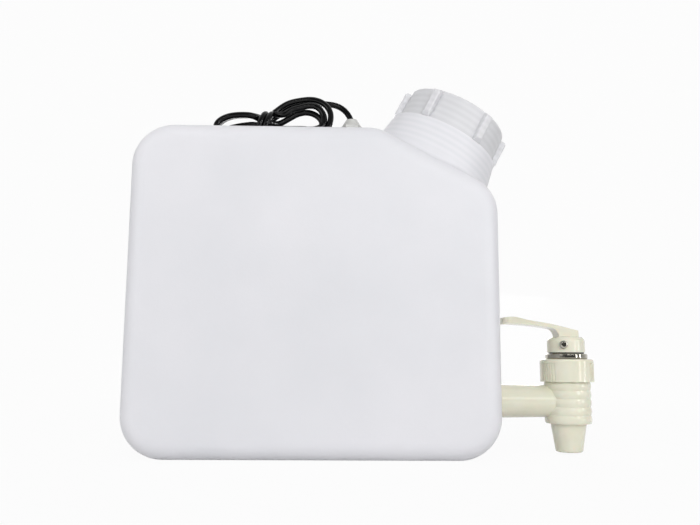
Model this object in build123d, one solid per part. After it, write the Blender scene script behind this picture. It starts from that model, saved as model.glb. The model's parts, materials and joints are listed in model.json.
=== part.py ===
"""A detergent dispenser bottle: blow-moulded, with a screw cap, a lever tap and a level sensor.

The length runs along X with the tap at +X, the front faces -Y, and Z is up. The origin lies on
the floor, at the centre of the box around the bottle, cap and tap. All sizes are millimetres.
"""

import os
from math import cos, pi, radians, sin, tan

from build123d import *

# ---------------------------------------------------------------- bottle
bottle_length = 210.0
bottle_depth = 90.0
bottle_height = 188.5
bottle_wall = 1.6
corner_radius = 24.0  # corners seen from the front
edge_radius = 10.0  # edges round the front and back faces
shoulder_run = 69.0  # how far the slanted shoulder reaches in from the tap side
shoulder_angle = 27.5  # slope of the shoulder, and tilt of the neck

# ---------------------------------------------------------------- neck and cap
neck_from_corner = 37.4  # along the shoulder, from its upper corner to the neck's axis
root_radius = 39.2  # foot of the flared neck root
root_top_radius = 35.0
root_height = 22.0
root_depth = 8.0  # how far the root runs on below the shoulder before it is cut to the bottle
root_blend = 3.0  # hollow curve where the root meets the shoulder
finish_radius = 28.2  # the straight part that carries the thread
finish_bore = 26.4
finish_height = 17.1
thread_pitch = 6.0
thread_turns = 1.35
thread_depth = 1.5
thread_width = 2.4  # at its foot
thread_crest = 1.1
thread_sink = 0.3  # how far a thread's foot runs into its wall
neck_thread_rise = 3.0  # of the thread's start, above the foot of the straight part
cap_thread_rise = 2.0
cap_clearance = 0.7  # between a thread's crest and the wall that it runs along
cap_wall = 1.5
cap_top = 1.8
cap_top_round = 1.4
cap_taper = 0.5
cap_gap = 0.4  # between the cap's skirt and the neck root
liner_thickness = 1.0
grip_count = 6
grip_width = 5.0
grip_reach = 3.8  # how far a grip stands out of the cap
grip_drop = 1.6  # of a grip's top below the cap's top
grip_foot_slant = 1.2
grip_round = 1.2
liner_clearance = 0.3

# ---------------------------------------------------------------- cable gland and level sensor
gland_x = 21.6  # from the bottle's centre
gland_thread_radius = 6.2
gland_flange_flats = 15.0
gland_flange_height = 4.0
gland_washer_radius = 9.0
gland_washer_height = 1.5
gland_spigot_radius = 5.4
gland_spigot_height = 5.5
gland_tail = 9.0  # thread below the top wall
lock_nut_flats = 17.0
lock_nut_height = 5.0
dome_flats = 13.0
dome_straight = 6.2
dome_cone = 4.8
dome_top_radius = 3.7
dome_hole_radius = 3.0
tube_radius = 3.0
tube_wall = 0.8
dome_lip = 2.0  # thickness of the dome nut over its sleeve
sleeve_thickness = 1.2
tube_top_sink = 2.8  # the tube ends this far below the dome nut's top
tube_bottom = 30.0  # above the floor
float_radius = 10.0
float_height = 18.0
float_travel = 9.5
float_bore_gap = 0.5
float_round = 2.0
magnet_radii = (7.0, 5.0)
magnet_height = 6.0
end_cap_height = 1.5
end_plug_depth = 4.0
clip_radius = 5.6
clip_height = 1.5
clip_from_end = 3.0  # of the lower stop, above the tube's end
reed_radius = 1.5  # fits the tube's bore with a little room
reed_length = 14.0
reed_round = 0.9
reed_wire_radius = 0.35
reed_wire_reach = 3.0  # out of each end of the glass
reed_overlap = 2.0  # of the reed switch with the float at its lowest
lead_radius = 0.55
lead_spacing = 1.7

# ---------------------------------------------------------------- sensor cable
cable_diameter = 3.8
hank_thickness = 11.0
hank_lean = 12.0  # the hank leans back by this much
hank_y = -13.0
right_lobe = (-9.0, 19.0, 14.2)  # centre along X, half length, half height
right_hole = (-11.0, 11.8, 3.9)
right_hole_height = 11.4  # of its centre, above the hank's foot
left_lobe = (-45.9, 17.2, 7.8)
left_hole = (-50.0, 9.0, 2.9)
left_hole_height = 8.2
knot_x = -32.0
knot_length = 10.0
knot_height = 16.8
knot_depth = 17.5  # the wrapped middle is deeper than the lobes
knot_rise = 1.0  # of the knot above the lobes' foot
knot_round = 3.0
connector_size = (14.0, 7.6, 5.6)
contact_count = 2
contact_pitch = 2.5
contact_size = (4.5, 0.7, 0.7)
contact_sink = 0.5  # the contacts end this far inside the housing's face
contact_room = 0.5
connector_round = 0.5

# ---------------------------------------------------------------- tap
tap_reach = 48.5  # from the bottle's side to the tap's axis
pipe_height = 30.8
pipe_radius = 10.05  # at its flange
pipe_end_radius = 9.2
pipe_bore = 6.0
tail_radius = 8.4
tail_length = 17.5  # threaded tail inside the bottle
flange_radius = 13.0
flange_thickness = 2.4
tap_washer_radius = 12.6
tap_washer_thickness = 2.5
inner_washer_thickness = 2.0
tap_nut_flats = 25.0
tap_nut_height = 6.0
pad_radius = 15.5  # flat moulded round the tap's hole
pad_thickness = 3.5
hole_clearance = 0.2
spout_bottom = 1.0  # above the floor
spout_radius = 7.9
spout_top_radius = 10.55
spout_bore = 5.9
spout_lip = 1.2
barrel_bottom = 17.8
barrel_radius = 13.3
ring_count = 5
ring_height = 4.9
ring_bulge = 0.5
chamber_radius = 10.0
chamber_bottom = 22.0
seat_thickness = 2.4
seat_hole_radius = 4.2
barrel_neck_radius = 12.6  # the threaded top that the bonnet screws onto
barrel_neck_height = 10.2

# ---------------------------------------------------------------- bonnet and swivel head
bonnet_radius = 15.8
bonnet_plate = 2.0
bonnet_round = 1.2
bonnet_gap = 0.1  # between the bonnet's foot and the barrel's top ring
flute_groups = 3
flutes_per_group = 6
flute_pitch_angle = 6.8
flute_radius = 0.55
flute_first_angle = 209.0  # middle of the first group
seal_thickness = 1.3
seal_inset = 0.2
chrome_radius = 12.45
chrome_height = 3.3
chrome_round = 0.9
head_washer_radius = 10.4
head_washer_height = 0.6
head_radius = 11.15
head_height = 9.5
head_round = 3.2
head_floor = 1.1
pocket_room = 2.5  # at each end of the lever's neck, for its swing
pocket_round = 1.0
spigot_radius = 6.8
spigot_reach = 10.0  # below the head
clip_thickness = 1.0
clip_reach = 1.9  # outside the spigot
clip_groove = 0.8
clip_mouth = 5.0
running_gap = 0.3  # between pieces that turn or slide
seat_gap = 0.05  # between pieces that bear on each other

# ---------------------------------------------------------------- lever, stem and valve
pin_offset = 4.8  # the pivot lies this far from the tap's axis, on the handle's side
pin_rise = 4.5  # above the head's foot
pin_radius = 1.5
pin_head_radius = 2.5
pin_head_height = 1.3
pin_head_round = 1.2
pin_short = 1.0  # the pin's plain end stays this far inside the head
neck_width = 12.0
lever_width = 12.6
lever_reach = 39.5  # from the tap's axis to the handle's tip
lever_tip_thickness = 3.9
lever_top_rise = 13.1  # top of the neck on its far side, above the head's foot
lever_slope_rise = 3.4  # the top edge rises this much over the neck
handle_rise = 7.7  # top of the handle's tip, above the neck's far side
handle_hump = 0.45  # the handle's top swells by this much behind its tip
handle_underside = 1.7  # above the neck's far side, where the handle leaves the neck
handle_hollow = 4.5  # hollow curve between the handle's underside and the neck
lever_corner = 4.0
tine_rise = 1.6  # top of the lever's fork, above its pivot
fork_pocket_height = 5.4
fork_pocket_length = 9.2
fork_pocket_shift = 0.5
stem_radius = 2.2
stem_head_radius = 3.4
stem_head_height = 1.4
stem_flange_radius = 5.4
stem_flange_height = 1.2
plug_radius = 6.5
plug_height = 3.4
plug_floor = 1.2  # under the stem's foot
plug_nose_radius = 3.7
plug_nose_height = 1.6
spring_radius = 4.3
spring_wire = 0.45  # radius of the wire
spring_turns = 6
o_ring_radius = 0.85

# ---------------------------------------------------------------- worked out from the sizes above
overall_length = bottle_length + tap_reach + bonnet_radius
bottle_x = -(tap_reach + bonnet_radius) / 2
side_x = bottle_x + bottle_length / 2
tap_x = side_x + tap_reach
shoulder_drop = shoulder_run * tan(radians(shoulder_angle))
shoulder_x = side_x - shoulder_run
down_slope = Vector(cos(radians(shoulder_angle)), 0, -sin(radians(shoulder_angle)))
neck_axis = Vector(sin(radians(shoulder_angle)), 0, cos(radians(shoulder_angle)))
neck_foot = Vector(shoulder_x, 0, bottle_height) + down_slope * neck_from_corner
neck_plane = Plane(origin=neck_foot, x_dir=down_slope, z_dir=neck_axis)
rim_height = root_height + finish_height
cap_inner_radius = finish_radius + thread_depth + cap_clearance
cap_radius = cap_inner_radius + cap_wall
cap_foot = root_height + cap_gap
cap_ceiling = rim_height + liner_thickness + 2 * seat_gap

gland_axis_x = bottle_x + gland_x
flange_foot = bottle_height + gland_washer_height + 2 * seat_gap
flange_top = flange_foot + gland_flange_height
spigot_top = flange_top + gland_spigot_height
dome_foot = flange_top + seat_gap
dome_top = dome_foot + dome_straight + dome_cone
tube_top = dome_top - tube_top_sink
lower_clip = tube_bottom + clip_from_end
float_foot = lower_clip + clip_height + running_gap
upper_clip = float_foot + float_height + float_travel + running_gap
reed_foot = float_foot + float_height - reed_overlap

cable_radius = cable_diameter / 2
hank_foot = bottle_height + running_gap + hank_thickness / 2 * sin(radians(hank_lean))
cable_lay = bottle_height + running_gap + cable_radius

barrel_top = barrel_bottom + ring_count * ring_height
bonnet_foot = barrel_top + bonnet_gap
barrel_rim = barrel_top + barrel_neck_height
plate_foot = barrel_rim + seal_thickness + 2 * seat_gap
bonnet_top = plate_foot + bonnet_plate
chrome_foot = bonnet_top + seat_gap
chrome_top = chrome_foot + chrome_height
head_foot = chrome_top + head_washer_height + 2 * seat_gap
spigot_foot = head_foot - spigot_reach
clip_top = plate_foot - seat_gap
pin_x = tap_x - pin_offset
pin_z = head_foot + pin_rise
tine_top = pin_z + tine_rise
stem_head_foot = tine_top + running_gap
plug_foot = chamber_bottom + seat_gap
flange_z = plug_foot + plug_height + seat_gap


def ring(outer, inner, height):
    """A flat ring standing on its own origin."""
    low = (Align.CENTER, Align.CENTER, Align.MIN)
    return Cylinder(outer, height, align=low) - Cylinder(inner, height, align=low)


def post(radius, height):
    """A round post standing on its own origin."""
    return Cylinder(radius, height, align=(Align.CENTER, Align.CENTER, Align.MIN))


def hexagon(flats, height):
    """A hexagonal block standing on its own origin, with its corners turned off as on any nut."""
    block = extrude(RegularPolygon(flats / 2, 6, major_radius=False), height)
    corner = flats / 2 / cos(pi / 6)
    chamfer_height = (corner - flats / 2) * 0.6
    limit = post(corner, height)
    limit = chamfer(limit.edges().filter_by(GeomType.CIRCLE), chamfer_height)
    return block & limit


# ================================================================ bottle
def bottle_block(inset):
    """The bottle's body without its neck, with every face moved in by the inset."""
    left, right = bottle_x - bottle_length / 2 + inset, side_x - inset
    low, high = inset, bottle_height - inset
    # The slanted side moves in squarely, so its ends slide along the top and the tap side.
    slide = inset * (1 / cos(radians(shoulder_angle)) - 1) / tan(radians(shoulder_angle))
    corner_drop = inset / cos(radians(shoulder_angle)) - inset * tan(radians(shoulder_angle))
    outline = Polyline(
        (left, low),
        (right, low),
        (right, bottle_height - shoulder_drop - corner_drop),
        (shoulder_x - slide, high),
        (left, high),
        close=True,
    )
    face = make_face(outline)
    face = fillet(face.vertices(), corner_radius - inset)
    block = extrude(Plane.XZ * face, bottle_depth / 2 - inset, both=True)
    faces = block.faces().filter_by(Axis.Y)
    edges = [edge for side in faces for edge in side.edges()]
    return fillet(edges, edge_radius - inset)


def thread(radius, outward):
    """A coarse thread standing out of or into a round wall, wound up the axis from its origin."""
    side = 1 if outward else -1
    sink = -thread_sink * side
    path = Helix(thread_pitch, thread_pitch * thread_turns, radius)
    start = Plane(origin=path @ 0, x_dir=(1, 0, 0), z_dir=path % 0)
    section = start * make_face(
        Polyline(
            (sink, -thread_width / 2),
            (side * thread_depth, -thread_crest / 2),
            (side * thread_depth, thread_crest / 2),
            (sink, thread_width / 2),
            close=True,
        )
    )
    return sweep(section, path, is_frenet=True)


def make_bottle():
    root_slope = (root_radius - root_top_radius) / root_height
    foot_radius = root_radius + root_slope * root_depth
    full_height = root_height + root_depth
    low = (Align.CENTER, Align.CENTER, Align.MIN)
    root = Pos(0, 0, -root_depth) * Cone(foot_radius, root_top_radius, full_height, align=low)
    inner_foot = foot_radius - bottle_wall
    inner_top = root_top_radius - bottle_wall + root_slope * bottle_wall
    inner_root = Cone(inner_foot, inner_top, full_height - bottle_wall, align=low)
    inner_root = Pos(0, 0, -root_depth) * inner_root
    finish = Pos(0, 0, root_height) * post(finish_radius, finish_height)
    finish += Pos(0, 0, root_height + neck_thread_rise) * thread(finish_radius, True)
    bore_foot = root_height - 2 * bottle_wall
    bore = Pos(0, 0, bore_foot) * post(finish_bore, rim_height + bottle_wall - bore_foot)
    block = bottle_block(0)
    root = neck_plane * root
    body = block + root
    body = fillet(new_edges(block, root, combined=body), root_blend)
    body = body + neck_plane * finish
    body = body - bottle_block(bottle_wall) - neck_plane * inner_root - neck_plane * bore
    pad_plane = Plane(origin=(side_x, 0, pipe_height), z_dir=(-1, 0, 0))
    tap_hole = Pos(0, 0, -1) * post(tail_radius + hole_clearance, pad_thickness + 2)
    gland_hole = post(gland_thread_radius + hole_clearance, 4 * bottle_wall)
    gland_hole = Pos(gland_axis_x, 0, bottle_height - 3 * bottle_wall) * gland_hole
    return body + pad_plane * post(pad_radius, pad_thickness) - pad_plane * tap_hole - gland_hole


# ================================================================ cap
def make_cap():
    height = cap_ceiling + cap_top - cap_foot
    low = (Align.CENTER, Align.CENTER, Align.MIN)
    shell = Cone(cap_radius + cap_taper, cap_radius, height, align=low)
    shell = fillet(shell.edges().group_by(Axis.Z)[-1], cap_top_round)
    start = cap_radius - cap_wall / 2
    end = cap_radius + grip_reach
    grip_top = height - grip_drop
    profile = Polyline(
        (start, 0),
        (end - grip_foot_slant, 0),
        (end, 2 * grip_foot_slant),
        (end, grip_top - grip_round),
        (end - grip_round, grip_top),
        (start, grip_top),
        close=True,
    )
    grip = extrude(Plane.XZ * make_face(profile), grip_width / 2, both=True)
    edges = grip.edges().filter_by(Axis.Z).sort_by(Axis.X)[-2:]
    grip = fillet(edges, grip_round)
    for number in range(grip_count):
        shell += Rot(0, 0, 360 / grip_count * number) * grip
    shell -= post(cap_inner_radius, height - cap_top)
    # The cap's thread runs half a pitch away from the neck's, so that they clear each other.
    thread_start = root_height + cap_thread_rise - cap_foot
    lag = thread_pitch / 2 - (neck_thread_rise - cap_thread_rise)
    ridge = Rot(0, 0, 360 * lag / thread_pitch) * thread(cap_inner_radius, False)
    shell += Pos(0, 0, thread_start) * ridge
    return neck_plane * Pos(0, 0, cap_foot) * shell


def make_liner():
    return neck_plane * Pos(0, 0, rim_height + seat_gap) * post(
        cap_inner_radius - liner_clearance, liner_thickness
    )


# ================================================================ gland and level sensor
def make_gland():
    """Gland body, washer, lock nut, clamping sleeve and dome nut."""
    axis = Pos(gland_axis_x, 0, 0)
    bore = tube_radius + 2 * seat_gap
    tail = gland_tail + bottle_wall + flange_foot - bottle_height
    body = Pos(0, 0, flange_foot - tail) * post(gland_thread_radius, tail + 1)
    body += Pos(0, 0, flange_foot) * hexagon(gland_flange_flats, gland_flange_height)
    body += Pos(0, 0, flange_top - 1) * post(gland_spigot_radius, gland_spigot_height + 1)
    body -= Pos(0, 0, flange_foot - tail) * post(bore, spigot_top - flange_foot + tail)
    washer = ring(gland_washer_radius, gland_thread_radius + hole_clearance, gland_washer_height)
    nut = hexagon(lock_nut_flats, lock_nut_height) - post(gland_thread_radius + seat_gap, lock_nut_height)
    nut_foot = bottle_height - bottle_wall - seat_gap - lock_nut_height
    sleeve_top = dome_top - dome_lip
    sleeve_radius = tube_radius + sleeve_thickness
    sleeve = ring(sleeve_radius, bore, sleeve_top - 2 * seat_gap - spigot_top)
    corner = dome_flats / 2 / cos(pi / 6)
    low = (Align.CENTER, Align.CENTER, Align.MIN)
    dome = extrude(RegularPolygon(dome_flats / 2, 6, major_radius=False), dome_straight + dome_cone)
    limit = post(corner, dome_straight)
    limit += Pos(0, 0, dome_straight) * Cone(dome_flats / 2, dome_top_radius, dome_cone, align=low)
    dome = dome & limit
    dome -= post(gland_spigot_radius + seat_gap, spigot_top - dome_foot + seat_gap)
    dome -= post(sleeve_radius + seat_gap, sleeve_top - dome_foot)
    dome -= post(dome_hole_radius, dome_straight + dome_cone)
    return {
        "gland_body": axis * body,
        "gland_washer": axis * Pos(0, 0, bottle_height + seat_gap) * washer,
        "gland_lock_nut": axis * Pos(0, 0, nut_foot) * nut,
        "gland_seal": axis * Pos(0, 0, spigot_top + seat_gap) * sleeve,
        "gland_dome_nut": axis * Pos(0, 0, dome_foot) * dome,
    }


def make_sensor():
    """Sensor tube with its end plug, reed switch and leads, and the float with its magnet and stops."""
    axis = Pos(gland_axis_x, 0, 0)
    inner = tube_radius - tube_wall
    tube = ring(tube_radius, inner, tube_top - tube_bottom)
    plug = Pos(0, 0, -end_cap_height) * post(tube_radius, end_cap_height - seat_gap)
    plug += Pos(0, 0, -end_cap_height) * post(inner - seat_gap, end_cap_height + end_plug_depth)
    float_shell = post(float_radius, float_height)
    float_shell = fillet(float_shell.edges().filter_by(GeomType.CIRCLE), float_round)
    float_shell -= post(tube_radius + float_bore_gap, float_height)
    magnet_place = Pos(0, 0, (float_height - magnet_height) / 2)
    outer, hollow = magnet_radii
    float_shell -= magnet_place * ring(outer, hollow, magnet_height)
    magnet = ring(outer - seat_gap, hollow + seat_gap, magnet_height - 2 * seat_gap)
    clip = ring(clip_radius, tube_radius + seat_gap, clip_height)
    reed = post(reed_radius, reed_length)
    reed = fillet(reed.edges().filter_by(GeomType.CIRCLE), reed_round)
    wire_length = reed_length + 2 * reed_wire_reach
    reed += Pos(0, 0, -reed_wire_reach) * post(reed_wire_radius, wire_length)
    lead_foot = reed_foot + reed_length + reed_wire_reach + seat_gap
    lead = post(lead_radius, tube_top - lead_foot)
    leads = [Pos(0, side * lead_spacing / 2, lead_foot) * lead for side in (-1, 1)]
    return {
        "sensor_tube": axis * Pos(0, 0, tube_bottom) * tube,
        "sensor_end_plug": axis * Pos(0, 0, tube_bottom) * plug,
        "sensor_float": axis * Pos(0, 0, float_foot) * float_shell,
        "float_magnet": axis * Pos(0, 0, float_foot + seat_gap) * magnet_place * magnet,
        "float_stops": Compound([axis * Pos(0, 0, z) * clip for z in (lower_clip, upper_clip)]),
        "reed_switch": axis * Pos(0, 0, reed_foot) * reed,
        "sensor_leads": Compound([axis * piece for piece in leads]),
    }


# ================================================================ cable
def cord(points, name):
    """A cable along straight runs, rounded at each point as far as its two runs allow."""
    points = [Vector(*point) for point in points]
    radii = []
    for before, here, after in zip(points, points[1:], points[2:]):
        turn = (here - before).get_angle(after - here)
        shorter = min((here - before).length, (after - here).length)
        radii.append(0.45 * shorter / tan(radians(turn / 2)))
    path = FilletPolyline(*points, radius=radii)
    section = Plane(origin=path @ 0, z_dir=path % 0) * Circle(cable_radius)
    tube = sweep(section, path)
    plain_volume = pi * cable_radius**2 * path.length
    print(name, "radii", [round(r, 1) for r in radii], "length", round(path.length, 1))
    print(name, "volume over section times length", round(tube.volume / plain_volume, 4))
    return tube


def make_cable():
    """The cable from the gland, its tied hank on top of the bottle, its tail and its connector."""
    shift = Vector(bottle_x, 0, 0)
    lead_in = [
        (gland_x, 0, tube_top + seat_gap),
        (gland_x - 0.3, 0, dome_top + 0.4),
        (gland_x - 3.8, 0.2, dome_top + 6.3),
        (gland_x - 9.2, 0.3, dome_top + 9.9),
        (gland_x - 17.1, -0.8, dome_top + 10.6),
        (gland_x - 26.0, -4.6, dome_top + 9.2),
    ]
    tail = [
        (knot_x - 4.0, -7.0, cable_lay),
        (knot_x - 4.0, 4.0, cable_lay),
        (knot_x - 7.0, 14.5, cable_lay),
        (knot_x - 15.0, 21.8, cable_lay),
        (knot_x - 25.5, 25.0, cable_lay),
    ]
    lead_in = [Vector(*point) + shift for point in lead_in]
    tail = [Vector(*point) + shift for point in tail]

    hank_plane = Plane(
        origin=(bottle_x, hank_y, hank_foot),
        x_dir=(1, 0, 0),
        z_dir=(0, -cos(radians(hank_lean)), sin(radians(hank_lean))),
    )

    def oval(shape, height):
        centre, half_length, half_height = shape
        return Pos(centre, height) * Ellipse(half_length, half_height)

    outline = oval(right_lobe, right_lobe[2]) + oval(left_lobe, left_lobe[2])
    outline -= oval(right_hole, right_hole_height) + oval(left_hole, left_hole_height)
    knot = RectangleRounded(knot_length, knot_height - knot_rise, knot_round)
    knot = Pos(knot_x, (knot_height + knot_rise) / 2) * knot
    hank = extrude(hank_plane * outline, hank_thickness / 2, both=True)
    hank += extrude(hank_plane * knot, knot_depth / 2, both=True)

    end, before = tail[-1], tail[-2]
    way = (end - before).normalized()
    length, width, height = connector_size
    foot = (end.X, end.Y, bottle_height + running_gap)
    lie = Plane(origin=foot, x_dir=(way.X, way.Y, 0), z_dir=(0, 0, 1))
    low = (Align.MIN, Align.CENTER, Align.MIN)
    housing = Pos(seat_gap, 0, 0) * Box(length, width, height, align=low)
    housing = fillet(housing.edges().filter_by(Axis.X), connector_round)
    pins = []
    contact_length, contact_width, contact_height = contact_size
    socket_length = contact_length + contact_sink
    reach_back = (Align.MAX, Align.CENTER, Align.CENTER)
    for number in range(contact_count):
        across = (number - (contact_count - 1) / 2) * contact_pitch
        place = Pos(length + seat_gap, across, height / 2)
        housing -= place * Box(
            2 * socket_length, contact_width + 2 * contact_room, contact_height + 2 * contact_room
        )
        contact = Box(contact_length, contact_width, contact_height, align=reach_back)
        pins.append(lie * place * Pos(seat_gap - contact_sink, 0, 0) * contact)
    return {
        "sensor_cable": cord(lead_in, "sensor_cable"),
        "cable_hank": hank,
        "cable_tail": cord(tail, "cable_tail"),
        "connector_housing": lie * housing,
        "connector_contacts": Compound(pins),
    }


# ================================================================ tap
def make_tap_body():
    """One moulding: threaded tail, flange, pipe, ringed barrel and tapered spout."""
    flange_x = side_x + tap_washer_thickness + 2 * seat_gap
    tail_start = side_x - tail_length
    along = Plane(origin=(0, 0, pipe_height), z_dir=(1, 0, 0))
    low = (Align.CENTER, Align.CENTER, Align.MIN)
    pipe_start = flange_x + flange_thickness
    tail = along * Pos(0, 0, tail_start) * post(tail_radius, flange_x - tail_start + 1)
    flange = along * Pos(0, 0, flange_x) * post(flange_radius, flange_thickness)
    pipe_length = tap_x - pipe_start
    pipe = Cone(pipe_radius, pipe_end_radius, pipe_length, align=low)
    pipe = along * Pos(0, 0, pipe_start) * pipe

    with BuildLine() as side:
        Line((0, spout_bottom), (spout_radius, spout_bottom))
        Line((spout_radius, spout_bottom), (spout_top_radius, barrel_bottom))
        Line((spout_top_radius, barrel_bottom), (barrel_radius, barrel_bottom))
        for number in range(ring_count):
            foot = barrel_bottom + number * ring_height
            middle = (barrel_radius + ring_bulge, foot + ring_height / 2)
            ThreePointArc((barrel_radius, foot), middle, (barrel_radius, foot + ring_height))
        Line((barrel_radius, barrel_top), (barrel_neck_radius, barrel_top))
        Line((barrel_neck_radius, barrel_top), (barrel_neck_radius, barrel_rim))
        Line((barrel_neck_radius, barrel_rim), (0, barrel_rim))
        Line((0, barrel_rim), (0, spout_bottom))
    barrel = revolve(Plane.XZ * make_face(side.line), Axis.Z)
    barrel = fillet(barrel.edges().group_by(Axis.Z)[0], spout_lip)
    body = tail + flange + pipe + Pos(tap_x, 0, 0) * barrel
    chamber = Pos(tap_x, 0, chamber_bottom) * post(chamber_radius, barrel_rim - chamber_bottom + 1)
    seat_foot = chamber_bottom - seat_thickness
    outlet = Pos(tap_x, 0, spout_bottom - 1) * post(spout_bore, seat_foot - spout_bottom + 1)
    seat_hole = Pos(tap_x, 0, spout_bottom) * post(seat_hole_radius, chamber_bottom - spout_bottom + 1)
    inlet = along * Pos(0, 0, tail_start - 1) * post(pipe_bore, tap_x - tail_start + 1)
    return body - chamber - outlet - seat_hole - inlet


def make_tap_fixings():
    """What clamps the tap to the bottle's side: two washers and the lock nut."""
    across = Plane(origin=(side_x, 0, pipe_height), x_dir=(0, 1, 0), z_dir=(1, 0, 0))
    hole = tail_radius + hole_clearance
    outer = Pos(0, 0, seat_gap) * ring(tap_washer_radius, hole, tap_washer_thickness)
    inner = ring(tap_washer_radius, hole, inner_washer_thickness)
    inner_foot = -pad_thickness - seat_gap - inner_washer_thickness
    nut = hexagon(tap_nut_flats, tap_nut_height) - post(tail_radius + seat_gap, tap_nut_height)
    nut_foot = inner_foot - seat_gap - tap_nut_height
    return {
        "tap_outer_washer": across * outer,
        "tap_inner_washer": across * Pos(0, 0, inner_foot) * inner,
        "tap_lock_nut": across * Pos(0, 0, nut_foot) * nut,
    }


def make_bonnet():
    """Fluted collar that screws onto the barrel and holds the swivel head."""
    height = bonnet_top - bonnet_foot
    collar = post(bonnet_radius, height)
    collar = fillet(collar.edges().group_by(Axis.Z)[-1], bonnet_round)
    flute = Pos(bonnet_radius, 0, 0) * post(flute_radius, height - 2 * bonnet_round)
    for group in range(flute_groups):
        for number in range(flutes_per_group):
            turn = (number - (flutes_per_group - 1) / 2) * flute_pitch_angle
            collar -= Rot(0, 0, flute_first_angle + 360 / flute_groups * group + turn) * flute
    collar -= post(barrel_neck_radius + seat_gap, plate_foot - bonnet_foot)
    collar -= post(spigot_radius + running_gap, height)
    seal = ring(barrel_neck_radius, chamber_radius + seal_inset, seal_thickness)
    axis = Pos(tap_x, 0, 0)
    return {
        "bonnet": axis * Pos(0, 0, bonnet_foot) * collar,
        "bonnet_seal": axis * Pos(0, 0, barrel_rim + seat_gap) * seal,
    }


def make_head():
    """Swivel head with its spigot and clip, and the chrome ring and washer under it."""
    axis = Pos(tap_x, 0, 0)
    head = post(head_radius, head_height)
    head = fillet(head.edges().group_by(Axis.Z)[-1], head_round)
    head += Pos(0, 0, -spigot_reach) * post(spigot_radius, spigot_reach + 1)
    pocket_length = neck_width + 2 * pocket_room
    pocket_width = lever_width + 2 * running_gap
    pocket = RectangleRounded(pocket_length, pocket_width, pocket_round)
    pocket = extrude(pocket, head_height)
    head -= Pos(0, 0, head_floor) * pocket
    head -= Pos(0, 0, -spigot_reach) * post(stem_radius + running_gap, spigot_reach + head_height)
    clip_foot = clip_top - clip_thickness
    groove = ring(spigot_radius + 1, spigot_radius - clip_groove, clip_thickness + 2 * seat_gap)
    head -= Pos(0, 0, clip_foot - seat_gap - head_foot) * groove
    o_ring_z = (bonnet_top + head_foot) / 2
    o_ring_major = stem_radius + 2 * seat_gap + o_ring_radius
    head -= Pos(0, 0, o_ring_z - head_foot - o_ring_radius - seat_gap) * post(
        o_ring_major + o_ring_radius + seat_gap, 2 * (o_ring_radius + seat_gap)
    )
    drill = Plane(origin=(-pin_offset, 0, pin_rise), z_dir=(0, 1, 0))
    head -= drill * Cylinder(pin_radius + seat_gap, 3 * head_radius)
    clip = ring(spigot_radius + clip_reach, spigot_radius - clip_groove + seat_gap, clip_thickness)
    mouth = Box(2 * (clip_reach + clip_groove), clip_mouth, 3 * clip_thickness)
    clip -= Pos(spigot_radius + clip_reach, 0, 0) * mouth
    chrome = ring(chrome_radius, spigot_radius + running_gap, chrome_height)
    outer = chrome.edges().filter_by(GeomType.CIRCLE).sort_by(SortBy.RADIUS)[-2:]
    chrome = fillet(outer, chrome_round)
    washer = ring(head_washer_radius, spigot_radius + running_gap, head_washer_height)
    return {
        "swivel_head": axis * Pos(0, 0, head_foot) * head,
        "head_clip": axis * Pos(0, 0, clip_foot) * clip,
        "chrome_ring": axis * Pos(0, 0, chrome_foot) * chrome,
        "head_washer": axis * Pos(0, 0, chrome_top + seat_gap) * washer,
        "stem_o_ring": axis * Pos(0, 0, o_ring_z) * Torus(o_ring_major, o_ring_radius),
    }


def make_lever():
    """Handle and neck in one moulding, forked at its foot to lift the stem, and its pivot pin."""
    foot, top = head_foot + head_floor + running_gap, head_foot + lever_top_rise
    half = neck_width / 2
    tip = -lever_reach
    tip_top = top + handle_rise
    tip_foot = tip_top - lever_tip_thickness
    bend = -half - 1.5
    hollow_end = -half - handle_hollow
    under = top + handle_underside
    with BuildLine() as side:
        Line((half, foot), (half, top))
        Line((half, top), (bend, top + lever_slope_rise))
        Spline(
            (bend, top + lever_slope_rise),
            (0.68 * tip, tip_top - 0.8),
            (0.8 * tip, tip_top + 0.7 * handle_hump),
            (0.9 * tip, tip_top + handle_hump),
            (tip, tip_top),
            tangents=[(bend - half, lever_slope_rise), (-1, -0.15)],
        )
        Line((tip, tip_top), (tip, tip_foot))
        Spline(
            (tip, tip_foot),
            (0.68 * tip, tip_foot - 0.3),
            (hollow_end, under),
            tangents=[(1, 0.05), (1, -0.16)],
        )
        RadiusArc((hollow_end, under), (-half, under - handle_hollow), 1.13 * handle_hollow)
        Line((-half, under - handle_hollow), (-half, foot))
        Line((-half, foot), (half, foot))
    lever = extrude(Plane.XZ * make_face(side.line), lever_width / 2, both=True)
    upright = lever.edges().filter_by(Axis.Z).sort_by(Axis.X)
    lever = fillet(upright[:2], lever_corner)
    slot_width = 2 * (stem_radius + running_gap)
    slot = Box(neck_width, slot_width, 2 * (tine_top - foot))
    slot = Pos(-1, 0, foot) * slot
    pocket_width = 2 * (stem_head_radius + running_gap)
    pocket = Box(fork_pocket_length, pocket_width, fork_pocket_height)
    pocket = Pos(fork_pocket_shift, 0, tine_top + fork_pocket_height / 2) * pocket
    drill = Plane(origin=(-pin_offset, 0, pin_z), z_dir=(0, 1, 0))
    drill = drill * Cylinder(pin_radius + running_gap / 2, 3 * head_radius)
    lever = lever - slot - pocket - drill

    seat_y = (head_radius**2 - (pin_offset - pin_head_radius) ** 2) ** 0.5
    along = Plane(origin=(-pin_offset, -seat_y, pin_z), x_dir=(1, 0, 0), z_dir=(0, 1, 0))
    shaft = post(pin_radius, 2 * seat_y - pin_short)
    head = Pos(0, 0, -pin_head_height) * post(pin_head_radius, pin_head_height)
    head = fillet(head.edges().group_by(Axis.Z)[0], pin_head_round)
    pin = along * (shaft + head)
    axis = Pos(tap_x, 0, 0)
    return {"lever": axis * lever, "lever_pin": axis * pin}


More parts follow.
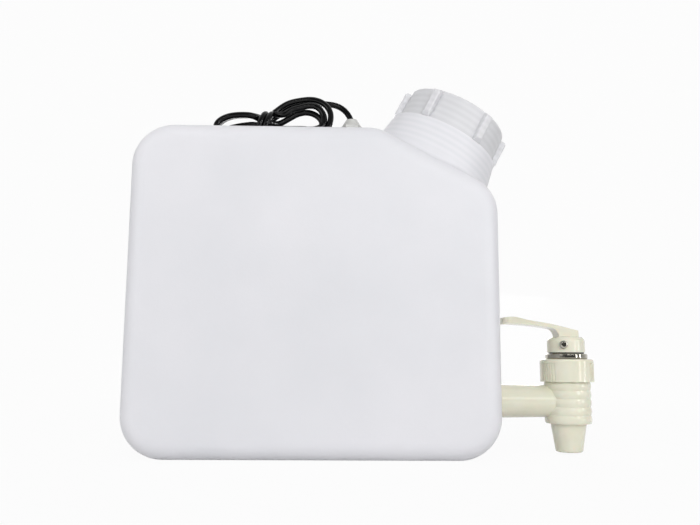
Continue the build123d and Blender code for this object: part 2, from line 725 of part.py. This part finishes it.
def make_valve():
    """Stem with its head and flange, silicone plug and the spring that closes it."""
    axis = Pos(tap_x, 0, 0)
    stem_foot = plug_foot + plug_floor
    stem = Pos(0, 0, stem_foot) * post(stem_radius, stem_head_foot - stem_foot + stem_head_height)
    stem += Pos(0, 0, flange_z) * post(stem_flange_radius, stem_flange_height)
    stem += Pos(0, 0, stem_head_foot) * post(stem_head_radius, stem_head_height)
    plug = post(plug_radius, plug_height)
    plug += Pos(0, 0, -plug_nose_height) * post(plug_nose_radius, plug_nose_height + plug_floor / 2)
    plug -= Pos(0, 0, plug_floor - seat_gap) * post(stem_radius + seat_gap, plug_height)
    spring_foot = flange_z + stem_flange_height + spring_wire + seat_gap
    spring_length = spigot_foot - seat_gap - spring_wire - spring_foot
    path = Helix(spring_length / spring_turns, spring_length, spring_radius)
    section = Plane(origin=path @ 0, z_dir=path % 0) * Circle(spring_wire)
    wire = sweep(section, path, is_frenet=True)
    return {
        "valve_stem": axis * stem,
        "valve_plug": axis * Pos(0, 0, plug_foot) * plug,
        "valve_spring": axis * Pos(0, 0, spring_foot) * wire,
    }


# ================================================================ write every piece
def main():
    pieces = {"bottle_body": make_bottle(), "screw_cap": make_cap(), "cap_liner": make_liner()}
    pieces.update(make_gland())
    pieces.update(make_sensor())
    pieces.update(make_cable())
    pieces["tap_body"] = make_tap_body()
    pieces.update(make_tap_fixings())
    pieces.update(make_bonnet())
    pieces.update(make_head())
    pieces.update(make_lever())
    pieces.update(make_valve())
    os.makedirs("parts", exist_ok=True)
    for name, piece in pieces.items():
        export_step(piece, f"parts/{name}.step")
    print(len(pieces), "pieces, overall length", round(overall_length, 2))
    print("neck foot", neck_foot, "neck axis", neck_axis)
    print("pin", round(pin_x, 3), round(pin_z, 3), "tap axis", round(tap_x, 3))
    print("gland axis", round(gland_axis_x, 3), "float foot", round(float_foot, 3))
    print("spring's fixed end", round(spigot_foot - seat_gap, 3))


if __name__ == "__main__":
    main()
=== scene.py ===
# %% [markdown]
# # A detergent dispenser bottle
# The object is a flat-sided bottle of natural polyethylene with a wide screw cap on a slanted
# shoulder, a lever tap low on its side, and a float sensor whose cable comes out through a gland
# and lies tied on top. The solid pieces arrive as finished meshes from CAD. What is left to do
# here is the soft cable, the small moulded details, the finishes, the light and the camera.

# %% Load the solid pieces and measure them
import json
import math

import bpy
from mathutils import Matrix, Vector


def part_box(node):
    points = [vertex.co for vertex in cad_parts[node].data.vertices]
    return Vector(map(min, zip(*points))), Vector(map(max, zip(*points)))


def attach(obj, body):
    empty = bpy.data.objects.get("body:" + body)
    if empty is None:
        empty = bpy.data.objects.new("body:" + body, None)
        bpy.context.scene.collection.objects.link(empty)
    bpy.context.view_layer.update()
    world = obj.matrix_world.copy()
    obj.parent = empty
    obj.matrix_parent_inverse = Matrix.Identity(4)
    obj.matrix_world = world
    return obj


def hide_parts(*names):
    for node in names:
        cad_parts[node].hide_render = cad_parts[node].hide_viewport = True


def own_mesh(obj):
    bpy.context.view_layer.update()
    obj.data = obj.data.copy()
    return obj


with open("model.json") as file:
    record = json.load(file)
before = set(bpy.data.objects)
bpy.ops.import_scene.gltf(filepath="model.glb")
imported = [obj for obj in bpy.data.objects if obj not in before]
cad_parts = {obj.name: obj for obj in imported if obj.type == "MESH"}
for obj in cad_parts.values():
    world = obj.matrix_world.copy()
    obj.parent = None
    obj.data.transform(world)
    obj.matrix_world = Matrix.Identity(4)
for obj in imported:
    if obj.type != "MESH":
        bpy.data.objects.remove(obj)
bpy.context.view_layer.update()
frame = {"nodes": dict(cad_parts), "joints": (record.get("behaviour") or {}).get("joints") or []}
nodes = frame["nodes"]

# %% [markdown]
# Every later step needs a few places on the object. They are read from the pieces themselves, so
# that a cable or a lamp stays where it belongs if the bottle's size changes. Lengths below are
# written in millimetres and turned to metres by one constant.

# %% Places on the bottle and the tap
MM = 0.001
bottle_length = 210 * MM
bottle_low, bottle_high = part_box("bottle_body")
bottle_x = bottle_low.x + bottle_length / 2
top_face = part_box("gland_washer")[0].z - 0.05 * MM
gland_low, gland_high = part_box("gland_dome_nut")
gland_x = (gland_low.x + gland_high.x) / 2
tap_low, tap_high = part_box("bonnet")
tap_x = (tap_low.x + tap_high.x) / 2
print("top face", round(top_face, 4), "gland", round(gland_x, 4), "tap", round(tap_x, 4))

# %% [markdown]
# ## Colours and nodes
# A colour picker shows sRGB values, while shaders work in linear light, so one function turns a
# hex code to linear. Building a material by hand is slow, so one more function adds a node, sets
# its settings and fills its inputs, either with a value or with another node's output.

# %% Colour and node helpers
def colour(code):
    """A hex sRGB colour as linear red, green, blue and alpha."""
    channels = [int(code[i : i + 2], 16) / 255 for i in (1, 3, 5)]
    linear = [c / 12.92 if c <= 0.04045 else ((c + 0.055) / 1.055) ** 2.4 for c in channels]
    return (*linear, 1.0)


def add(owner, kind, inputs=None, stops=(), **settings):
    """Adds a node; an input takes a value or another node's output, and a ramp takes its stops."""
    tree = owner.node_tree
    node = tree.nodes.new(kind)
    for name, value in settings.items():
        setattr(node, name, value)
    for name, value in (inputs or {}).items():
        if isinstance(value, bpy.types.NodeSocket):
            tree.links.new(value, node.inputs[name])
        else:
            node.inputs[name].default_value = value
    for index, (place, shade) in enumerate(stops):
        ramp = node.color_ramp.elements
        stop = ramp[index] if index < 2 else ramp.new(place)
        stop.position, stop.color = place, shade
    return node


def empty_material(name):
    """A material with nothing but its output node, and that output."""
    material = bpy.data.materials.new(name)
    material.use_nodes = True
    material.node_tree.nodes.clear()
    return material, add(material, "ShaderNodeOutputMaterial")


def finish_material(material, output, shader):
    material.node_tree.links.new(shader.outputs[0], output.inputs["Surface"])
    print("material", material.name)
    return material


# %% [markdown]
# ## Camera
# A camera that looks slightly up from just above the floor makes a small bottle look tall. The
# lens is a normal one for the sensor's width, and the camera stands about two bottle lengths
# away, so the cap's near side shows a little of its rim.

# %% Place the camera
lens_mm = 37.03
camera_place = Vector((-21.28, -440.13, 52.52)) * MM
look_up = math.radians(7.98)
look_right = math.radians(1.33)
roll = math.radians(0.38)

camera_data = bpy.data.cameras.new("camera")
camera_data.sensor_width = 36
camera_data.lens = lens_mm
camera = bpy.data.objects.new("camera", camera_data)
bpy.context.scene.collection.objects.link(camera)
turn = Matrix.Rotation(-look_right, 4, "Z") @ Matrix.Rotation(math.pi / 2 + look_up, 4, "X")
camera.matrix_world = Matrix.Translation(camera_place) @ turn @ Matrix.Rotation(roll, 4, "Z")
bpy.context.scene.camera = camera
print("camera", [round(v, 3) for v in camera_place])

# %% [markdown]
# ## Sensor cable
# The level sensor's cable is a thin, limp, black PVC lead of about 0.64 m. It
# leaves the gland, drops into three loose turns tied round the middle, and ends in a small white
# connector. A simulation could drop it, but a tied hank keeps the shape that it was tied in, so
# it is drawn as one smooth NURBS curve. The tie splits it into a large lobe and a small one. Each
# turn follows the same line, pulled in towards a lobe's middle and moved back or forward, so that
# the turns lie beside each other. Places in the hank are given along the length, backwards and
# upwards from the bottle's top, and the hank leans back a little.

# %% The line that one turn follows
cable_diameter = 3.8 * MM
hank_y = -13 * MM
hank_lean = math.tan(math.radians(12))
cable_lay = 2.2  # height of the cable's middle where it lies on the bottle, in millimetres
dome_top = gland_high.z

over = [(-3, 27.6), (-11, 26.6), (-19, 24.4), (-26, 18.4)]
left = [(-38.5, 14.0), (-46, 14.5), (-54, 13.6), (-60, 10.2), (-61.9, 5.8), (-57, 2.3)]
left_under = [(-48, 2.2), (-40, 3.4)]
under = [(-26, 3.4), (-18, 2.2), (-9, 2.0), (0, 2.4), (6.3, 5.6)]
side = [(8.5, 12.5)]
shoulder = [(8.1, 19.5), (3.6, 25.0)]
small_loop = [(2.8, 8), (3, 13), (-0.5, 17), (-6, 19), (-12, 17.9), (-18, 14), (-24.5, 9.6)]
right_middle = (-11, 12)
left_middle = (-50, 8)


def in_hank(along, back, up):
    """A place in the hank, from millimetres on the bottle's top to metres in the room."""
    y = hank_y + (back + up * hank_lean) * MM if up > cable_lay else hank_y + back * MM
    return Vector((bottle_x + along * MM, y, top_face + max(up, cable_lay) * MM))


def strand(line, middle, inset, back, lift=0.0):
    """A stretch of a turn, pulled in towards a lobe's middle, at one depth in the hank."""
    places = []
    for along, up in line:
        share = inset / math.hypot(middle[0] - along, middle[1] - up)
        along += (middle[0] - along) * share
        up += (middle[1] - up) * share + lift
        places.append(in_hank(along, back, up))
    return places


print("turn", sum(map(len, (over, left, left_under, under, side, shoulder))) + 2, "points")

# %% The whole route, from the gland to the connector
route = [
    Vector((gland_x, 0, dome_top - 2.7 * MM)),
    Vector((gland_x - 0.3 * MM, 0, dome_top + 0.4 * MM)),
    Vector((gland_x - 3.8 * MM, 0.2 * MM, dome_top + 6.3 * MM)),
    Vector((gland_x - 9.2 * MM, 0.3 * MM, dome_top + 9.9 * MM)),
    Vector((gland_x - 17.1 * MM, -0.8 * MM, dome_top + 10.6 * MM)),
    Vector((gland_x - 26.0 * MM, -4.6 * MM, dome_top + 9.2 * MM)),
]
route += strand(over[1:], right_middle, 2.2, 3.6)
route += [in_hank(-32, 3.0, 11.2)]
route += strand(left, left_middle, 0, -3.7, lift=0.3)
route += strand(left_under, left_middle, 0, -3.2)
route += [in_hank(-33, -2.8, 6.6)]
route += strand(under, right_middle, 0, -2.0)
route += strand(side, right_middle, 0, -1.5)
route += strand(shoulder, right_middle, 0, -0.8)
route += strand(over, right_middle, 0, -0.2)
route += [in_hank(-32, -0.6, 12.2)]
route += strand(left, left_middle, 0, 0, lift=1.5)
route += [in_hank(-56, 0.2, 6.0), in_hank(-47, -0.6, 8.2), in_hank(-39, -0.6, 9.4)]
route += [in_hank(-33, 0.2, 8.4)]
route += strand(under[:-1], right_middle, 2.6, 3.2)
route += [in_hank(along, 1.2, up) for along, up in small_loop]
route += [in_hank(-32, -3.6, 10.4)]
route += strand(left, left_middle, 0, 3.7, lift=2.7)
route += strand(left_under, left_middle, 0.2, 3.3)
route += [in_hank(-33, 2.6, 6.4)]
route += strand(under, right_middle, 3.0, -3.0, lift=0.9)
route += strand(side, right_middle, 3.8, -2.6)
route += strand(shoulder, right_middle, 5.2, -3.0)
route += strand(over[:-1], right_middle, 6.4, -3.3)
route += [in_hank(-20.5, -3.3, 14.8)]
print("route", len(route), "points before the tie")

# %% [markdown]
# The last stretch of the cable is itself the tie. It goes one and a half times round the middle
# of the hank, comes out underneath and runs back over the bottle's top, out of sight.

# %% Wrap the tie and lay the tail
wrap_step = 45
wrap_end = 540
tie_start, tie_pitch, tie_sway = -29.2, 3.9, 1.8  # along the bottle: start, step per turn, lean
tie_middle, tie_height, tie_depth = 9.6, 7.4, 7.2  # upwards and backwards, in millimetres
for angle in range(0, wrap_end + 1, wrap_step):
    around = math.radians(angle)
    along = tie_start - tie_pitch * angle / 360 + tie_sway * math.cos(around)
    up = tie_middle + tie_height * math.cos(around)
    route.append(in_hank(along, -tie_depth * math.sin(around), up))
for along, y in ((-36.8, -7.0), (-36.2, 4.0), (-39.0, 14.5), (-47.0, 21.8), (-57.5, 25.0)):
    route.append(Vector((bottle_x + along * MM, y * MM, top_face + cable_lay * MM)))

curve = bpy.data.curves.new("sensor_lead", "CURVE")
curve.dimensions = "3D"
curve.bevel_depth = 1.0  # times each point's radius
curve.bevel_resolution = 5
curve.resolution_u = 6
curve.use_fill_caps = True
spline = curve.splines.new("NURBS")
spline.points.add(len(route) - 1)
for point, place in zip(spline.points, route):
    point.co = (*place, 1.0)
    point.radius = cable_diameter / 2
spline.order_u = 3
spline.use_endpoint_u = True
sensor_lead = bpy.data.objects.new("sensor_lead", curve)
bpy.context.scene.collection.objects.link(sensor_lead)
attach(sensor_lead, "bottle")
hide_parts("sensor_cable", "cable_hank", "cable_tail")
print("cable route", len(route), "points")

# %% [markdown]
# ## Valve spring
# The spring stands on the valve stem and pushes against the underside of the swivelling head, so
# it gets shorter as the lever lifts the stem. A copy of the coil, with a mesh of its own, rides
# with the stem in place of the CAD piece.

# %% Spring on the stem
closing_spring = bpy.data.objects.new("closing_spring", nodes["valve_spring"].data.copy())
bpy.context.scene.collection.objects.link(closing_spring)
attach(closing_spring, "stem")
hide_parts("valve_spring")
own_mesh(closing_spring)

# %% [markdown]
# ## Studio
# The object stands in a white sweep. The floor is one sheet that curves up behind, and its
# material mixes a plain white surface with a little light of its own that only the camera and
# clear or shiny things see, so the background stays white while the object keeps its shadow.

# %% White sweep
def white_sweep():
    """A floor that runs back and then curves up into a wall, as one smooth sheet."""
    front, back, wide, high, bend = -1.6, 1.3, 2.6, 2.4, 0.6  # metres; wide is half the width
    steps = 16
    profile = [(front, 0.0), (back - bend, 0.0)]
    for step in range(1, steps + 1):
        angle = math.pi / 2 * step / steps
        profile.append((back - bend + bend * math.sin(angle), bend - bend * math.cos(angle)))
    profile.append((back, high))
    mesh = bpy.data.meshes.new("white_sweep")
    points = [(edge * wide, y, z) for y, z in profile for edge in (-1, 1)]
    faces = [(2 * i, 2 * i + 1, 2 * i + 3, 2 * i + 2) for i in range(len(profile) - 1)]
    mesh.from_pydata(points, [], faces)
    mesh.shade_smooth()
    paper = bpy.data.objects.new("white_sweep", mesh)
    bpy.context.scene.collection.objects.link(paper)
    return paper


def seen_plainly(owner):
    """One where a ray comes from the camera, a reflection or clear glass, and nought elsewhere."""
    rays = add(owner, "ShaderNodeLightPath")
    seen = rays.outputs["Is Camera Ray"]
    for kind in ("Is Glossy Ray", "Is Transmission Ray"):
        pair = {0: seen, 1: rays.outputs[kind]}
        seen = add(owner, "ShaderNodeMath", pair, operation="MAXIMUM").outputs[0]
    return seen


paper_glow = 0.94
studio_paper, output = empty_material("studio_paper")
flat_white = add(studio_paper, "ShaderNodeBsdfDiffuse", {"Color": colour("#D8D8D8")})
glow = add(studio_paper, "ShaderNodeEmission", {"Strength": 1.0})
share = {0: seen_plainly(studio_paper), 1: paper_glow}
share = add(studio_paper, "ShaderNodeMath", share, operation="MULTIPLY").outputs[0]
parts = {0: share, 1: flat_white.outputs[0], 2: glow.outputs[0]}
finish_material(studio_paper, output, add(studio_paper, "ShaderNodeMixShader", parts))
sweep = white_sweep()
sweep.data.materials.append(studio_paper)

# %% [markdown]
# ## Light
# Nearly white plastic on white shows its form only where its edges turn darker, so most of the
# light is one wide soft sky, brighter in front than behind, with a soft lamp in front, a weak one
# on the left and one behind that keeps the back from going dull. The front lamp is left out of
# reflections, because the lever's flat side would mirror it. Three narrow strips do the opposite
# and show only as reflections: two upright ones draw bright lines down whatever is round and
# glossy, and a level one lifts the middle of the pipe a little. What shiny pieces mirror matters
# as much: the sky they see is darker in front of the bottle, where a photographer would stand,
# so polished metal shows a dark band and a bright one.

# %% Sky
sky_front = 0.96
sky_back = 0.42
mirror_front = 0.08
mirror_back = 0.74
world = bpy.data.worlds.new("studio_sky")
bpy.context.scene.world = world
world.use_nodes = True
world.node_tree.nodes.clear()
way = add(world, "ShaderNodeTexCoord").outputs["Generated"]
depth = add(world, "ShaderNodeSeparateXYZ", {0: way}).outputs["Y"]
ahead = {"Value": depth, "From Min": -0.95, "From Max": 0.3}
ahead.update({"To Min": mirror_front, "To Max": mirror_back})
mirrored = add(world, "ShaderNodeMapRange", ahead).outputs["Result"]
level_front = {0: way, 1: (0.0, -1.0, -0.35)}  # the front counts most, and overhead least
level_front = add(world, "ShaderNodeVectorMath", level_front, operation="DOT_PRODUCT")
spread = {"Value": level_front.outputs["Value"], "From Min": -0.4, "From Max": 1.0}
spread.update({"To Min": sky_back, "To Max": sky_front})
shining = add(world, "ShaderNodeMapRange", spread).outputs["Result"]
rays = add(world, "ShaderNodeLightPath")
is_mirror = rays.outputs["Is Glossy Ray"]
level = {0: is_mirror, 2: shining, 3: mirrored}
level = add(world, "ShaderNodeMix", level, data_type="FLOAT").outputs[0]
plain = {0: rays.outputs["Is Camera Ray"], 1: rays.outputs["Is Transmission Ray"]}
plain = add(world, "ShaderNodeMath", plain, operation="MAXIMUM").outputs[0]
level = {0: plain, 2: level, 3: 1.0}
level = add(world, "ShaderNodeMix", level, data_type="FLOAT").outputs[0]
sky = add(world, "ShaderNodeBackground", {"Color": (1, 1, 1, 1), "Strength": level})
end = add(world, "ShaderNodeOutputWorld")
world.node_tree.links.new(sky.outputs[0], end.inputs["Surface"])
print("sky from", sky_back, "behind to", sky_front, "in front")


# %% Lamps
def soft_lamp(name, place, aim, size, watts, tall=None):
    """A lamp that faces the point it lights: square, or a strip where its height is given."""
    lamp = bpy.data.lights.new(name, "AREA")
    lamp.shape = "RECTANGLE"
    lamp.size = size
    lamp.size_y = tall or size
    lamp.energy = watts
    holder = bpy.data.objects.new(name, lamp)
    holder.location = place
    holder.rotation_euler = (Vector(aim) - Vector(place)).to_track_quat("-Z", "Y").to_euler()
    holder.visible_camera = False
    bpy.context.scene.collection.objects.link(holder)
    print("lamp", name, watts, "W")
    return holder


middle_height = 0.1
key = soft_lamp("key_lamp", (0.45, -1.6, 0.55), (0, 0, middle_height), 0.9, 11.5)
key.visible_glossy = False
soft_lamp("fill_lamp", (-1.2, -1.1, 0.5), (0, 0, middle_height), 0.8, 3.0)
soft_lamp("back_lamp", (0.1, 1.1, 0.45), (0, 0, middle_height), 0.7, 4)
tap_middle = (tap_x, 0, 0.05)
upright = {"size": 0.05, "tall": 0.7, "watts": 1.9}
level_wide = {"size": 0.9, "tall": 0.12, "watts": 2.2}
for strip in (
    soft_lamp("near_strip", (0.76, -0.77, 0.3), tap_middle, **upright),
    soft_lamp("far_strip", (1.02, -0.45, 0.3), tap_middle, **upright),
    soft_lamp("level_strip", (0.35, -1.4, 0.58), tap_middle, **level_wide),
):
    strip.visible_diffuse = False

# %% [markdown]
# ## Finishes
# Every piece is moulded, turned or wound from one material, so each finish starts from what that
# material is. Three small patterns are shared: broad soft patches, the fine skin that a mould
# leaves, and a recipe that joins them into a moulded surface. All of them are laid out in metres
# on the piece, so their size is real.

# %% Shared patterns
def on_piece(material):
    """Places on the piece, in metres."""
    return add(material, "ShaderNodeTexCoord").outputs["Object"]


def patches(material, size, low=0.0, high=1.0):
    """Soft patches of about the given size, as a value between low and high."""
    waves = {"Vector": on_piece(material), "Scale": 1 / size, "Detail": 3.0}
    noise = add(material, "ShaderNodeTexNoise", waves).outputs["Fac"]
    spread = {"Value": noise, "From Min": 0.32, "From Max": 0.68, "To Min": low, "To Max": high}
    return add(material, "ShaderNodeMapRange", spread).outputs["Result"]


def skin(material, grain, height, under=None):
    """The slight orange peel of a moulded surface, as a bent normal."""
    bump = {"Height": patches(material, grain), "Distance": height, "Strength": 1.0}
    if under is not None:
        bump["Normal"] = under
    return add(material, "ShaderNodeBump", bump).outputs["Normal"]


def moulded(name, tones, gloss, patch, grain, height, under=None, tone=None, **facts):
    """A moulded surface: two close tones in patches, uneven gloss and a fine skin."""
    material, output = empty_material(name)
    if callable(under):
        under = under(material)
    mixed = tone(material) if tone else patches(material, patch)
    steps = [(0.0, colour(tones[0])), (1.0, colour(tones[1]))]
    shade = add(material, "ShaderNodeValToRGB", {"Fac": mixed}, stops=steps).outputs["Color"]
    surface = {
        "Base Color": shade,
        "Roughness": patches(material, patch / 3, *gloss),
        "Normal": skin(material, grain, height, under),
    }
    surface.update({key.replace("_", " "): value for key, value in facts.items()})
    shader = add(material, "ShaderNodeBsdfPrincipled", surface)
    return finish_material(material, output, shader)


# %% [markdown]
# ### Rings round the neck and the cap
# The threads of the neck and of the cap show through the milky walls as soft rings about four
# millimetres apart, which climb slowly round. They are worked out from the height along the
# neck and the angle round it, and both come from the cap's joint.

# %% Thread seen through the wall
cap_joint = next(joint for joint in frame["joints"] if joint["name"] == "cap_turn")
neck_axis = Vector(cap_joint["axis"])
neck_foot = Vector(cap_joint["pos_m"])
ring_spacing = 4 * MM


def round_neck(material):
    """Height along the neck, and angle round it."""
    place = {0: on_piece(material), 1: neck_foot}
    place = add(material, "ShaderNodeVectorMath", place, operation="SUBTRACT").outputs[0]
    sideways = Vector((0, 1, 0))
    measures = []
    for way in (neck_axis, sideways.cross(neck_axis), sideways):
        pair = {0: place, 1: way}
        measure = add(material, "ShaderNodeVectorMath", pair, operation="DOT_PRODUCT")
        measures.append(measure.outputs["Value"])
    height, across, back = measures
    turn = add(material, "ShaderNodeMath", {0: back, 1: across}, operation="ARCTAN2").outputs[0]
    return height, turn


def thread_rings(material):
    """Soft rings where the thread backs the wall, from nought to one."""
    height, turn = round_neck(material)
    climb = {0: height, 1: 2 * math.pi / ring_spacing, 2: turn}
    climb = add(material, "ShaderNodeMath", climb, operation="MULTIPLY_ADD").outputs[0]
    wave = add(material, "ShaderNodeMath", {0: climb}, operation="SINE").outputs[0]
    spread = {"Value": wave, "From Min": -0.9, "From Max": 0.9}
    return add(material, "ShaderNodeMapRange", spread).outputs["Result"]


print("neck axis", [round(v, 3) for v in neck_axis], "rings", ring_spacing)

# %% [markdown]
# ### Bottle: natural high-density polyethylene, blow-moulded
# The walls are milky, so light sinks in and comes out softly a few millimetres away: subsurface
# scattering does that. Blowing leaves the wall thicker in some places, seen as broad faint
# patches, and the two halves of the mould leave a thin raised line all round, in the middle of
# the bottle's thickness. The colour is a cool grey white.

# %% Blow-moulded polyethylene
def mould_line(material):
    """A raised line where the two mould halves met, just under a millimetre wide."""
    depth = add(material, "ShaderNodeSeparateXYZ", {0: on_piece(material)}).outputs["Y"]
    off = add(material, "ShaderNodeMath", {0: depth}, operation="ABSOLUTE").outputs[0]
    edge = {"Value": off, "From Min": 0.2 * MM, "From Max": 0.6 * MM, "To Min": 1, "To Max": 0}
    ridge = add(material, "ShaderNodeMapRange", edge, interpolation_type="SMOOTHSTEP")
    bump = {"Height": ridge.outputs["Result"], "Distance": 0.25 * MM, "Strength": 1.0}
    return add(material, "ShaderNodeBump", bump).outputs["Normal"]


def wall_and_neck(material):
    """Broad patches on the body, and the thread's rings from the neck's foot upwards."""
    height, _ = round_neck(material)
    above = {"Value": height, "From Min": 3 * MM, "From Max": 6 * MM}
    above = add(material, "ShaderNodeMapRange", above).outputs["Result"]
    tones = {0: above, 2: patches(material, wall_patch), 3: thread_rings(material)}
    return add(material, "ShaderNodeMix", tones, data_type="FLOAT").outputs[0]


wall_patch = 70 * MM
milky = {"Subsurface_Weight": 0.35, "Subsurface_Scale": 6 * MM}
milky["Subsurface_Radius"] = (1.0, 0.95, 0.95)
bottle_polyethylene = moulded(
    "blow_moulded_polyethylene",
    ("#E0E0E5", "#E6E5EA"),
    (0.38, 0.46),
    wall_patch,
    1.6 * MM,
    0.012 * MM,
    under=mould_line,
    tone=wall_and_neck,
    **milky,
)

# %% [markdown]
# ### Cap: natural polyethylene, injection-moulded
# The cap is the same plastic, a little darker and glossier, with the same rings all over it.

# %% Injection-moulded polyethylene
cap_polyethylene = moulded(
    "injection_moulded_polyethylene",
    ("#D2D2D5", "#D8D8DB"),
    (0.3, 0.4),
    20 * MM,
    1.2 * MM,
    0.01 * MM,
    tone=thread_rings,
    **milky,
)

# %% [markdown]
# ### Tap: cream polypropylene
# The tap's mouldings are glossy cream polypropylene with a slightly greenish yellow cast. The
# gloss makes tall bright streaks on the round barrel. Handling leaves faint dull patches, and the
# skin is smoother than the bottle's.

# %% Cream polypropylene
cream_polypropylene = moulded(
    "cream_polypropylene",
    ("#DEDCC7", "#E4E2D0"),
    (0.09, 0.15),
    14 * MM,
    2.6 * MM,
    0.008 * MM,
    Subsurface_Weight=0.12,
    Subsurface_Scale=2 * MM,
)

# %% [markdown]
# ### Gland, connector and sensor
# The gland is light grey nylon, with patches of uneven gloss. The connector is white nylon and
# the float and its tube are white polypropylene. They share the moulded recipe with their own
# tones and patch sizes.

# %% Nylon and white polypropylene
grey_nylon = moulded(
    "grey_nylon", ("#BEBEBB", "#CCCCC9"), (0.3, 0.42), 6 * MM, 0.8 * MM, 0.01 * MM
)
white_nylon = moulded(
    "white_nylon", ("#E4E2D8", "#EFEDE4"), (0.34, 0.46), 5 * MM, 0.6 * MM, 0.008 * MM
)
white_polypropylene = moulded(
    "white_polypropylene", ("#E6E6E2", "#F0F0EC"), (0.36, 0.48), 9 * MM, 0.9 * MM, 0.01 * MM
)

# %% [markdown]
# ### Cable jacket, rubber and silicone
# The cable's jacket is extruded PVC: nearly black, with a polished skin that draws a thin bright
# line along it and slight waves where it was bent. Rubber washers are matt black with a dusty
# bloom. Silicone is milky and slightly greasy.

# %% PVC, rubber, silicone and foam
black_pvc = moulded(
    "polished_black_pvc", ("#020203", "#060607"), (0.08, 0.14), 8 * MM, 3.5 * MM, 0.02 * MM,
    Specular_IOR_Level=0.35,
)
black_rubber = moulded(
    "black_rubber", ("#171717", "#242423"), (0.6, 0.78), 3 * MM, 0.5 * MM, 0.03 * MM
)
milky_silicone = moulded(
    "milky_silicone",
    ("#D2D2CC", "#E0E0DA"),
    (0.4, 0.5),
    5 * MM,
    0.9 * MM,
    0.02 * MM,
    Subsurface_Weight=0.4,
    Subsurface_Scale=3 * MM,
)
liner_foam = moulded(
    "closed_cell_foam", ("#DFDFDB", "#F0F0EC"), (0.75, 0.9), 2 * MM, 0.6 * MM, 0.12 * MM
)
red_insulation = moulded(
    "red_wire_insulation", ("#8E1A16", "#A8241D"), (0.3, 0.4), 3 * MM, 0.8 * MM, 0.01 * MM
)

# %% [markdown]
# ### Metals and magnet
# The ring under the swivelling head and the pivot pin are plated with chrome and polished, so
# they are almost pure mirror with faint waves left by buffing. The spring and the clip are
# stainless steel with a duller skin, the contacts are plated brass, and the float's magnet is
# dark sintered ferrite with a gritty face.

# %% Chrome, stainless steel, brass and ferrite
metal = {"Metallic": 1.0}
polished_chrome = moulded(
    "polished_chrome", ("#A9A69C", "#BBB8AE"), (0.05, 0.12), 6 * MM, 2 * MM, 0.004 * MM, **metal
)
drawn_stainless = moulded(
    "drawn_stainless", ("#A8A7A3", "#BEBDB8"), (0.22, 0.36), 4 * MM, 0.4 * MM, 0.01 * MM, **metal
)
plated_brass = moulded(
    "plated_brass", ("#B4954F", "#CDAE64"), (0.18, 0.3), 2 * MM, 0.4 * MM, 0.006 * MM, **metal
)
sintered_ferrite = moulded(
    "sintered_ferrite", ("#26262A", "#37373C"), (0.5, 0.68), 2 * MM, 0.35 * MM, 0.04 * MM
)

# %% [markdown]
# ### Reed switch: drawn glass tube
# The switch is sealed in a thin green-tinted glass tube. Clear glass needs no more than its
# index, a tint and a slight waviness from the drawing.

# %% Reed glass
reed_glass, output = empty_material("green_reed_glass")
tint = [(0.0, colour("#BFE0C8")), (1.0, colour("#D4EFDB"))]
tinted = add(reed_glass, "ShaderNodeValToRGB", {"Fac": patches(reed_glass, 4 * MM)}, stops=tint)
clear = {
    "Base Color": tinted.outputs["Color"],
    "Roughness": patches(reed_glass, 3 * MM, 0.02, 0.08),
    "Normal": skin(reed_glass, 2 * MM, 0.01 * MM),
    "IOR": 1.5,
    "Transmission Weight": 1.0,
}
finish_material(reed_glass, output, add(reed_glass, "ShaderNodeBsdfPrincipled", clear))

# %% [markdown]
# ## Dress the pieces
# Each piece takes the finish of what it is made of. The list goes by finish, so a piece that is
# missing from it is easy to see in the printed count.

# %% Give every piece its finish
finishes = {
    bottle_polyethylene: ["bottle_body"],
    cap_polyethylene: ["screw_cap"],
    liner_foam: ["cap_liner"],
    grey_nylon: ["gland_body", "gland_lock_nut", "gland_dome_nut"],
    black_rubber: ["gland_washer", "gland_seal", "head_washer", "stem_o_ring"],
    white_polypropylene: ["sensor_tube", "sensor_end_plug", "sensor_float", "float_stops"],
    sintered_ferrite: ["float_magnet"],
    reed_glass: ["reed_switch"],
    red_insulation: ["sensor_leads"],
    black_pvc: ["sensor_cable", "cable_hank", "cable_tail"],
    white_nylon: ["connector_housing"],
    plated_brass: ["connector_contacts"],
    cream_polypropylene: [
        "tap_body", "tap_lock_nut", "bonnet", "swivel_head", "lever", "valve_stem",
    ],
    milky_silicone: ["tap_outer_washer", "tap_inner_washer", "bonnet_seal", "valve_plug"],
    polished_chrome: ["chrome_ring", "lever_pin"],
    drawn_stainless: ["head_clip", "valve_spring"],
}
dressed = 0
for material, names in finishes.items():
    for name in names:
        piece = nodes[name]
        if not piece.material_slots:
            piece.data.materials.append(material)
        for place in piece.material_slots:
            place.material = material
        dressed += 1
curve.materials.append(black_pvc)
closing_spring.data.materials.clear()
closing_spring.data.materials.append(drawn_stainless)
print("dressed", dressed, "of", len(nodes), "pieces")

# %% [markdown]
# ## Finish
# The view transform is Standard, so that a colour comes out as it was chosen.

# %% Set the view transform
bpy.context.scene.view_settings.view_transform = "Standard"
